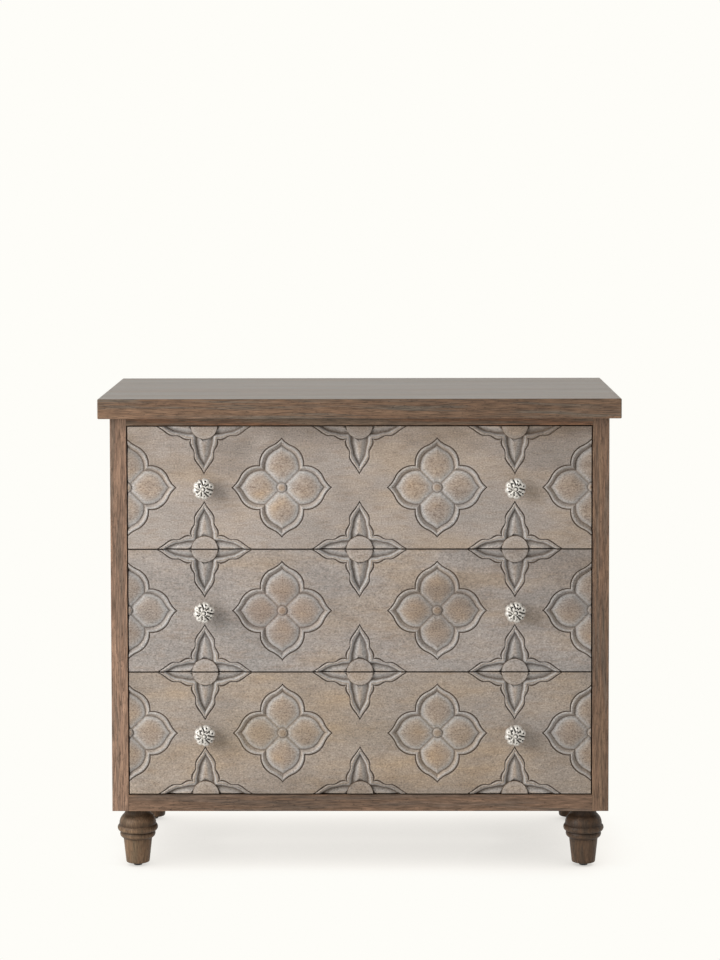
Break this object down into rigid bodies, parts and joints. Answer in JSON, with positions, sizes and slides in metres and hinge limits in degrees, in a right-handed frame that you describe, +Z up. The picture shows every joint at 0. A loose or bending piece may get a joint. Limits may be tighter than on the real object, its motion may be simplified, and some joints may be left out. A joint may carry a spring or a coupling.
{
  "type": "chest of drawers",
  "caption": "Wooden chest of drawers on turned feet, its inset fronts carved with flowers and stars; drawers pull out by cast metal knobs on wooden runners.",
  "frame": {"origin": "on the floor under the middle of the bounding box, knobs included", "axes": "+X to the right as seen from the front, +Y to the back, +Z up; the drawers open towards -Y"},
  "size_m": [0.914, 0.468, 0.837],
  "materials": {
    "limed_case_wood": "limed grey-brown hardwood, satin",
    "limed_carved_wood": "carved hardwood with a rubbed-back whitewash, blue-grey in the hollows",
    "secondary_wood": "plain planed wood, unfinished",
    "knob_metal": "cast white metal, polished high spots and dark patina in the hollows",
    "screw_steel": "zinc-plated steel",
    "glide_plastic": "black nylon"
  },
  "bodies": {
    "case": {"top_board": "limed_case_wood", "left_side_panel": "limed_case_wood", "right_side_panel": "limed_case_wood", "top_front_rail": "limed_case_wood", "bottom_front_rail": "limed_case_wood", "front_left_leg": "limed_case_wood", "front_right_leg": "limed_case_wood", "rear_left_leg": "limed_case_wood", "rear_right_leg": "limed_case_wood", "top_rear_rail": "secondary_wood", "bottom_rear_rail": "secondary_wood", "bottom_board": "secondary_wood", "back_panel": "secondary_wood", "front_left_leg_block": "secondary_wood", "front_right_leg_block": "secondary_wood", "rear_left_leg_block": "secondary_wood", "rear_right_leg_block": "secondary_wood", "lower_left_runner": "secondary_wood", "lower_right_runner": "secondary_wood", "middle_left_runner": "secondary_wood", "middle_right_runner": "secondary_wood", "upper_left_runner": "secondary_wood", "upper_right_runner": "secondary_wood", "runner_screws": "screw_steel", "top_screws": "screw_steel", "back_screws": "screw_steel", "leg_bolts": "screw_steel", "leg_glides": "glide_plastic"},
    "lower_drawer": {"lower_drawer_front": "limed_carved_wood", "lower_drawer_left_side": "secondary_wood", "lower_drawer_right_side": "secondary_wood", "lower_drawer_back": "secondary_wood", "lower_drawer_bottom": "secondary_wood", "lower_left_knob": "knob_metal", "lower_left_knob_stem": "knob_metal", "lower_right_knob": "knob_metal", "lower_right_knob_stem": "knob_metal", "lower_knob_bolts": "screw_steel"},
    "middle_drawer": {"middle_drawer_front": "limed_carved_wood", "middle_drawer_left_side": "secondary_wood", "middle_drawer_right_side": "secondary_wood", "middle_drawer_back": "secondary_wood", "middle_drawer_bottom": "secondary_wood", "middle_left_knob": "knob_metal", "middle_left_knob_stem": "knob_metal", "middle_right_knob": "knob_metal", "middle_right_knob_stem": "knob_metal", "middle_knob_bolts": "screw_steel"},
    "upper_drawer": {"upper_drawer_front": "limed_carved_wood", "upper_drawer_left_side": "secondary_wood", "upper_drawer_right_side": "secondary_wood", "upper_drawer_back": "secondary_wood", "upper_drawer_bottom": "secondary_wood", "upper_left_knob": "knob_metal", "upper_left_knob_stem": "knob_metal", "upper_right_knob": "knob_metal", "upper_right_knob_stem": "knob_metal", "upper_knob_bolts": "screw_steel"}
  },
  "joints": [
    {"name": "lower_drawer_slide", "type": "slide", "parent": "case", "child": "lower_drawer", "axis": [0, -1, 0], "range_m": [0, 0.28]},
    {"name": "middle_drawer_slide", "type": "slide", "parent": "case", "child": "middle_drawer", "axis": [0, -1, 0], "range_m": [0, 0.28]},
    {"name": "upper_drawer_slide", "type": "slide", "parent": "case", "child": "upper_drawer", "axis": [0, -1, 0], "range_m": [0, 0.28]}
  ]
}
